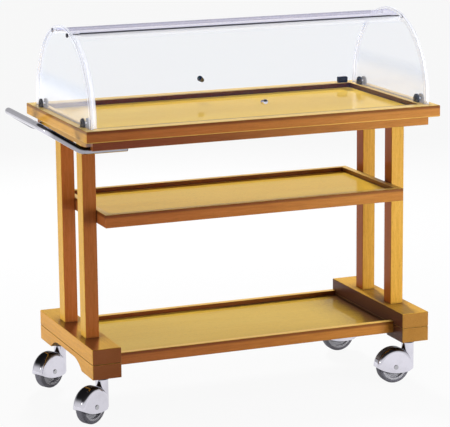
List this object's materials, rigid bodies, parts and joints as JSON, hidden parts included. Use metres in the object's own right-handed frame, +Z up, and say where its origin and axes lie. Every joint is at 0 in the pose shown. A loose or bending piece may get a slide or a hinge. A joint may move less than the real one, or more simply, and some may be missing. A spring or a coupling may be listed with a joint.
{
  "type": "appetizer trolley",
  "caption": "Wooden serving trolley on hooded swivel casters: tray under a clear barrel dome with lift-up panels, open shelves below and a chrome push handle.",
  "frame": {"origin": "middle of the outline on the floor, handle included", "axes": "+X along the trolley, away from the push handle; -Y faces the front; +Z up"},
  "size_m": [1.162, 0.55, 1.0839],
  "materials": {
    "wood_frame": "honey to cherry stained hardwood under glossy varnish",
    "wood_board": "lighter golden veneered board under glossy varnish",
    "clear_acrylic": "clear polished sheet",
    "chrome": "polished plating",
    "dark_metal": "dark satin coating",
    "steel": "satin",
    "tyre": "dark grey rubber",
    "wheel_core": "moulded grey",
    "black_plastic": "moulded black"
  },
  "bodies": {
    "trolley": {"tray_rim_front": "wood_frame", "tray_rim_rear": "wood_frame", "tray_rim_left": "wood_frame", "tray_rim_right": "wood_frame", "apron_front": "wood_frame", "apron_rear": "wood_frame", "apron_left": "wood_frame", "apron_right": "wood_frame", "cross_rails": "wood_frame", "post_left_front": "wood_frame", "post_left_rear": "wood_frame", "post_right_front": "wood_frame", "post_right_rear": "wood_frame", "foot_beam_left": "wood_frame", "foot_beam_right": "wood_frame", "foot_base_left": "wood_frame", "foot_base_right": "wood_frame", "mid_shelf_rail_front": "wood_frame", "mid_shelf_rail_rear": "wood_frame", "mid_shelf_rail_left": "wood_frame", "mid_shelf_rail_right": "wood_frame", "bottom_shelf_rail_front": "wood_frame", "bottom_shelf_rail_rear": "wood_frame", "bottom_shelf_cleats": "wood_frame", "frame_dowels": "wood_frame", "tray_board": "wood_board", "mid_shelf_board": "wood_board", "bottom_shelf_board": "wood_board", "dome_end_left": "clear_acrylic", "dome_end_right": "clear_acrylic", "dome_spine": "clear_acrylic", "handle_screws": "steel", "clamp_bolts": "steel", "caster_sockets": "steel", "push_handle": "chrome", "hinge_rods": "dark_metal", "clamp_jaws": "dark_metal"},
    "front_cover": {"front_panel": "clear_acrylic", "front_hinge_tube": "dark_metal", "front_knob": "chrome"},
    "rear_cover": {"rear_panel": "clear_acrylic", "rear_hinge_tube": "dark_metal", "rear_knob": "chrome", "rear_catch": "black_plastic"},
    "caster_front_left_fork": {"caster_front_left_hood": "chrome", "caster_front_left_axle": "steel"},
    "caster_front_left_roller": {"caster_front_left_wheel": "wheel_core", "caster_front_left_tyre": "tyre"},
    "caster_front_right_fork": {"caster_front_right_hood": "chrome", "caster_front_right_axle": "steel"},
    "caster_front_right_roller": {"caster_front_right_wheel": "wheel_core", "caster_front_right_tyre": "tyre"},
    "caster_rear_left_fork": {"caster_rear_left_hood": "chrome", "caster_rear_left_axle": "steel"},
    "caster_rear_left_roller": {"caster_rear_left_wheel": "wheel_core", "caster_rear_left_tyre": "tyre"},
    "caster_rear_right_fork": {"caster_rear_right_hood": "chrome", "caster_rear_right_axle": "steel"},
    "caster_rear_right_roller": {"caster_rear_right_wheel": "wheel_core", "caster_rear_right_tyre": "tyre"}
  },
  "joints": [
    {"name": "front_cover_hinge", "type": "hinge", "parent": "trolley", "child": "front_cover", "pos_m": [0.051, -0.06689, 1.0638], "axis": [-1, 0, 0], "range_deg": [0, 138]},
    {"name": "rear_cover_hinge", "type": "hinge", "parent": "trolley", "child": "rear_cover", "pos_m": [0.051, 0.06689, 1.0638], "axis": [1, 0, 0], "range_deg": [0, 138]},
    {"name": "caster_front_left_swivel", "type": "hinge", "parent": "trolley", "child": "caster_front_left_fork", "pos_m": [-0.424, -0.192, 0.1265], "axis": [0, 0, 1], "continuous": true},
    {"name": "caster_front_left_spin", "type": "hinge", "parent": "caster_front_left_fork", "child": "caster_front_left_roller", "pos_m": [-0.46557, -0.216, 0.05], "axis": [-0.5, 0.866, 0], "continuous": true},
    {"name": "caster_front_right_swivel", "type": "hinge", "parent": "trolley", "child": "caster_front_right_fork", "pos_m": [0.526, -0.192, 0.1265], "axis": [0, 0, 1], "continuous": true},
    {"name": "caster_front_right_spin", "type": "hinge", "parent": "caster_front_right_fork", "child": "caster_front_right_roller", "pos_m": [0.478, -0.192, 0.05], "axis": [0, 1, 0], "continuous": true},
    {"name": "caster_rear_left_swivel", "type": "hinge", "parent": "trolley", "child": "caster_rear_left_fork", "pos_m": [-0.424, 0.192, 0.1265], "axis": [0, 0, 1], "continuous": true},
    {"name": "caster_rear_left_spin", "type": "hinge", "parent": "caster_rear_left_fork", "child": "caster_rear_left_roller", "pos_m": [-0.46557, 0.168, 0.05], "axis": [-0.5, 0.866, 0], "continuous": true},
    {"name": "caster_rear_right_swivel", "type": "hinge", "parent": "trolley", "child": "caster_rear_right_fork", "pos_m": [0.526, 0.192, 0.1265], "axis": [0, 0, 1], "continuous": true},
    {"name": "caster_rear_right_spin", "type": "hinge", "parent": "caster_rear_right_fork", "child": "caster_rear_right_roller", "pos_m": [0.478, 0.192, 0.05], "axis": [0, 1, 0], "continuous": true}
  ]
}
